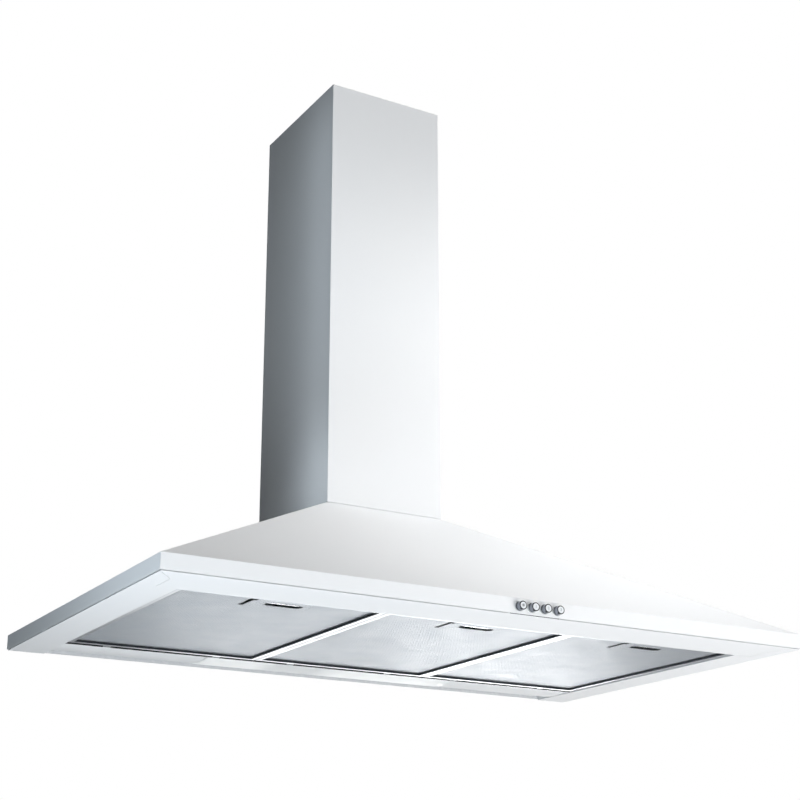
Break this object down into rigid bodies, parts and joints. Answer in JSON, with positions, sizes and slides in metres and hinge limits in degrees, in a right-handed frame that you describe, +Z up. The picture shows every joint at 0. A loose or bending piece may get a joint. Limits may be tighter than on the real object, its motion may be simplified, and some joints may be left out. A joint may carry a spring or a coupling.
{
  "type": "chimney range hood",
  "caption": "Wall-mounted pyramid chimney range hood in white enamel, with hinged grease filters, push buttons, a lamp band and a twin-inlet fan",
  "frame": {"origin": "on the wall plane, at the centre of the four wall fixing holes", "axes": "+X to the right of someone facing the hood, +Y into the wall, +Z up"},
  "size_m": [0.898, 0.539, 0.84],
  "materials": {
    "white_enamel": "smooth gloss white powder coat",
    "galvanised_steel": "dull zinc-coated sheet",
    "bright_steel": "ground bright steel",
    "zinc_screw": "zinc-plated screw",
    "spring_steel": "dark spring wire",
    "latch_steel": "bright plated steel",
    "filter_frame_aluminium": "bright rolled aluminium",
    "filter_mesh_aluminium": "expanded aluminium mesh",
    "lamp_diffuser": "translucent white diffuser, lit from behind",
    "reflector_white": "white reflector enamel",
    "opal_glass": "opal glass bulb",
    "white_plastic": "heat-resistant white plastic",
    "grey_plastic": "mid grey moulded plastic",
    "button_grey": "light grey moulded plastic",
    "black_plastic": "black flame-retardant plastic",
    "motor_enamel": "dark motor enamel"
  },
  "bodies": {
    "hood": {"canopy_shell": "white_enamel", "back_panel": "galvanised_steel", "underside_frame": "white_enamel", "rear_rail": "galvanised_steel", "lamp_panel": "white_enamel", "lamp_tray": "reflector_white", "lamp_holder_left": "white_plastic", "lamp_holder_right": "white_plastic", "lamp_left": "opal_glass", "lamp_right": "opal_glass", "chimney_lower": "white_enamel", "blower_deck": "galvanised_steel", "casing_left": "black_plastic", "casing_right": "black_plastic", "inlet_ring_left": "black_plastic", "inlet_ring_right": "black_plastic", "motor": "motor_enamel", "motor_bracket": "galvanised_steel", "outlet_collar": "black_plastic", "flap_pin": "bright_steel", "terminal_box": "grey_plastic", "capacitor": "white_plastic", "cable_gland": "grey_plastic", "switch_block": "black_plastic", "button_bezels": "grey_plastic", "button_1_spring": "spring_steel", "button_2_spring": "spring_steel", "button_3_spring": "spring_steel", "button_4_spring": "spring_steel", "casing_screws": "zinc_screw", "deck_screws": "zinc_screw"},
    "chimney_upper": {"chimney_upper": "white_enamel", "ceiling_bracket": "galvanised_steel"},
    "lamp_cover": {"lamp_cover": "lamp_diffuser", "lamp_cover_screw": "zinc_screw"},
    "impeller": {"impeller": "black_plastic", "motor_shaft": "bright_steel"},
    "flap_front": {"flap_front": "black_plastic"},
    "flap_rear": {"flap_rear": "black_plastic"},
    "filter_1": {"filter_1_frame": "filter_frame_aluminium", "filter_1_mesh": "filter_mesh_aluminium", "filter_1_latch_plate": "filter_mesh_aluminium", "filter_1_latch_spring": "spring_steel"},
    "filter_1_latch": {"filter_1_latch": "latch_steel"},
    "filter_2": {"filter_2_frame": "filter_frame_aluminium", "filter_2_mesh": "filter_mesh_aluminium", "filter_2_latch_plate": "filter_mesh_aluminium", "filter_2_latch_spring": "spring_steel"},
    "filter_2_latch": {"filter_2_latch": "latch_steel"},
    "filter_3": {"filter_3_frame": "filter_frame_aluminium", "filter_3_mesh": "filter_mesh_aluminium", "filter_3_latch_plate": "filter_mesh_aluminium", "filter_3_latch_spring": "spring_steel"},
    "filter_3_latch": {"filter_3_latch": "latch_steel"},
    "button_1": {"button_1": "button_grey"},
    "button_2": {"button_2": "button_grey"},
    "button_3": {"button_3": "button_grey"},
    "button_4": {"button_4": "button_grey"}
  },
  "joints": [
    {"name": "chimney_slide", "type": "slide", "parent": "hood", "child": "chimney_upper", "axis": [0, 0, 1], "range_m": [0, 0.4]},
    {"name": "lamp_cover_hinge", "type": "hinge", "parent": "hood", "child": "lamp_cover", "pos_m": [-0.189, -0.047, -0.097], "axis": [0, 1, 0], "range_deg": [0, 75]},
    {"name": "impeller_spin", "type": "hinge", "parent": "hood", "child": "impeller", "pos_m": [0, -0.0885, 0.1715], "axis": [-1, 0, 0], "continuous": true},
    {"name": "flap_front_hinge", "type": "hinge", "parent": "hood", "child": "flap_front", "pos_m": [0, -0.11, 0.3283], "axis": [-1, 0, 0], "range_deg": [0, 70]},
    {"name": "flap_rear_hinge", "type": "hinge", "parent": "hood", "child": "flap_rear", "pos_m": [0, -0.11, 0.3283], "axis": [1, 0, 0], "range_deg": [0, 70]},
    {"name": "filter_1_hinge", "type": "hinge", "parent": "hood", "child": "filter_1", "pos_m": [-0.2656, -0.0852, -0.1014], "axis": [1, 0, 0], "range_deg": [0, 75]},
    {"name": "filter_1_latch_slide", "type": "slide", "parent": "filter_1", "child": "filter_1_latch", "axis": [0, 1, 0], "range_m": [0, 0.005], "stiffness_N_per_m": 400, "springref_m": -0.004, "deforming": ["filter_1_latch_spring"]},
    {"name": "filter_2_hinge", "type": "hinge", "parent": "hood", "child": "filter_2", "pos_m": [0, -0.0852, -0.1014], "axis": [1, 0, 0], "range_deg": [0, 75]},
    {"name": "filter_2_latch_slide", "type": "slide", "parent": "filter_2", "child": "filter_2_latch", "axis": [0, 1, 0], "range_m": [0, 0.005], "stiffness_N_per_m": 400, "springref_m": -0.004, "deforming": ["filter_2_latch_spring"]},
    {"name": "filter_3_hinge", "type": "hinge", "parent": "hood", "child": "filter_3", "pos_m": [0.2656, -0.0852, -0.1014], "axis": [1, 0, 0], "range_deg": [0, 75]},
    {"name": "filter_3_latch_slide", "type": "slide", "parent": "filter_3", "child": "filter_3_latch", "axis": [0, 1, 0], "range_m": [0, 0.005], "stiffness_N_per_m": 400, "springref_m": -0.004, "deforming": ["filter_3_latch_spring"]},
    {"name": "button_1_press", "type": "slide", "parent": "hood", "child": "button_1", "axis": [0, 1, 0], "range_m": [0, 0.003], "stiffness_N_per_m": 600, "springref_m": -0.002, "deforming": ["button_1_spring"]},
    {"name": "button_2_press", "type": "slide", "parent": "hood", "child": "button_2", "axis": [0, 1, 0], "range_m": [0, 0.003], "stiffness_N_per_m": 600, "springref_m": -0.002, "deforming": ["button_2_spring"]},
    {"name": "button_3_press", "type": "slide", "parent": "hood", "child": "button_3", "axis": [0, 1, 0], "range_m": [0, 0.003], "stiffness_N_per_m": 600, "springref_m": -0.002, "deforming": ["button_3_spring"]},
    {"name": "button_4_press", "type": "slide", "parent": "hood", "child": "button_4", "axis": [0, 1, 0], "range_m": [0, 0.003], "stiffness_N_per_m": 600, "springref_m": -0.002, "deforming": ["button_4_spring"]}
  ]
}
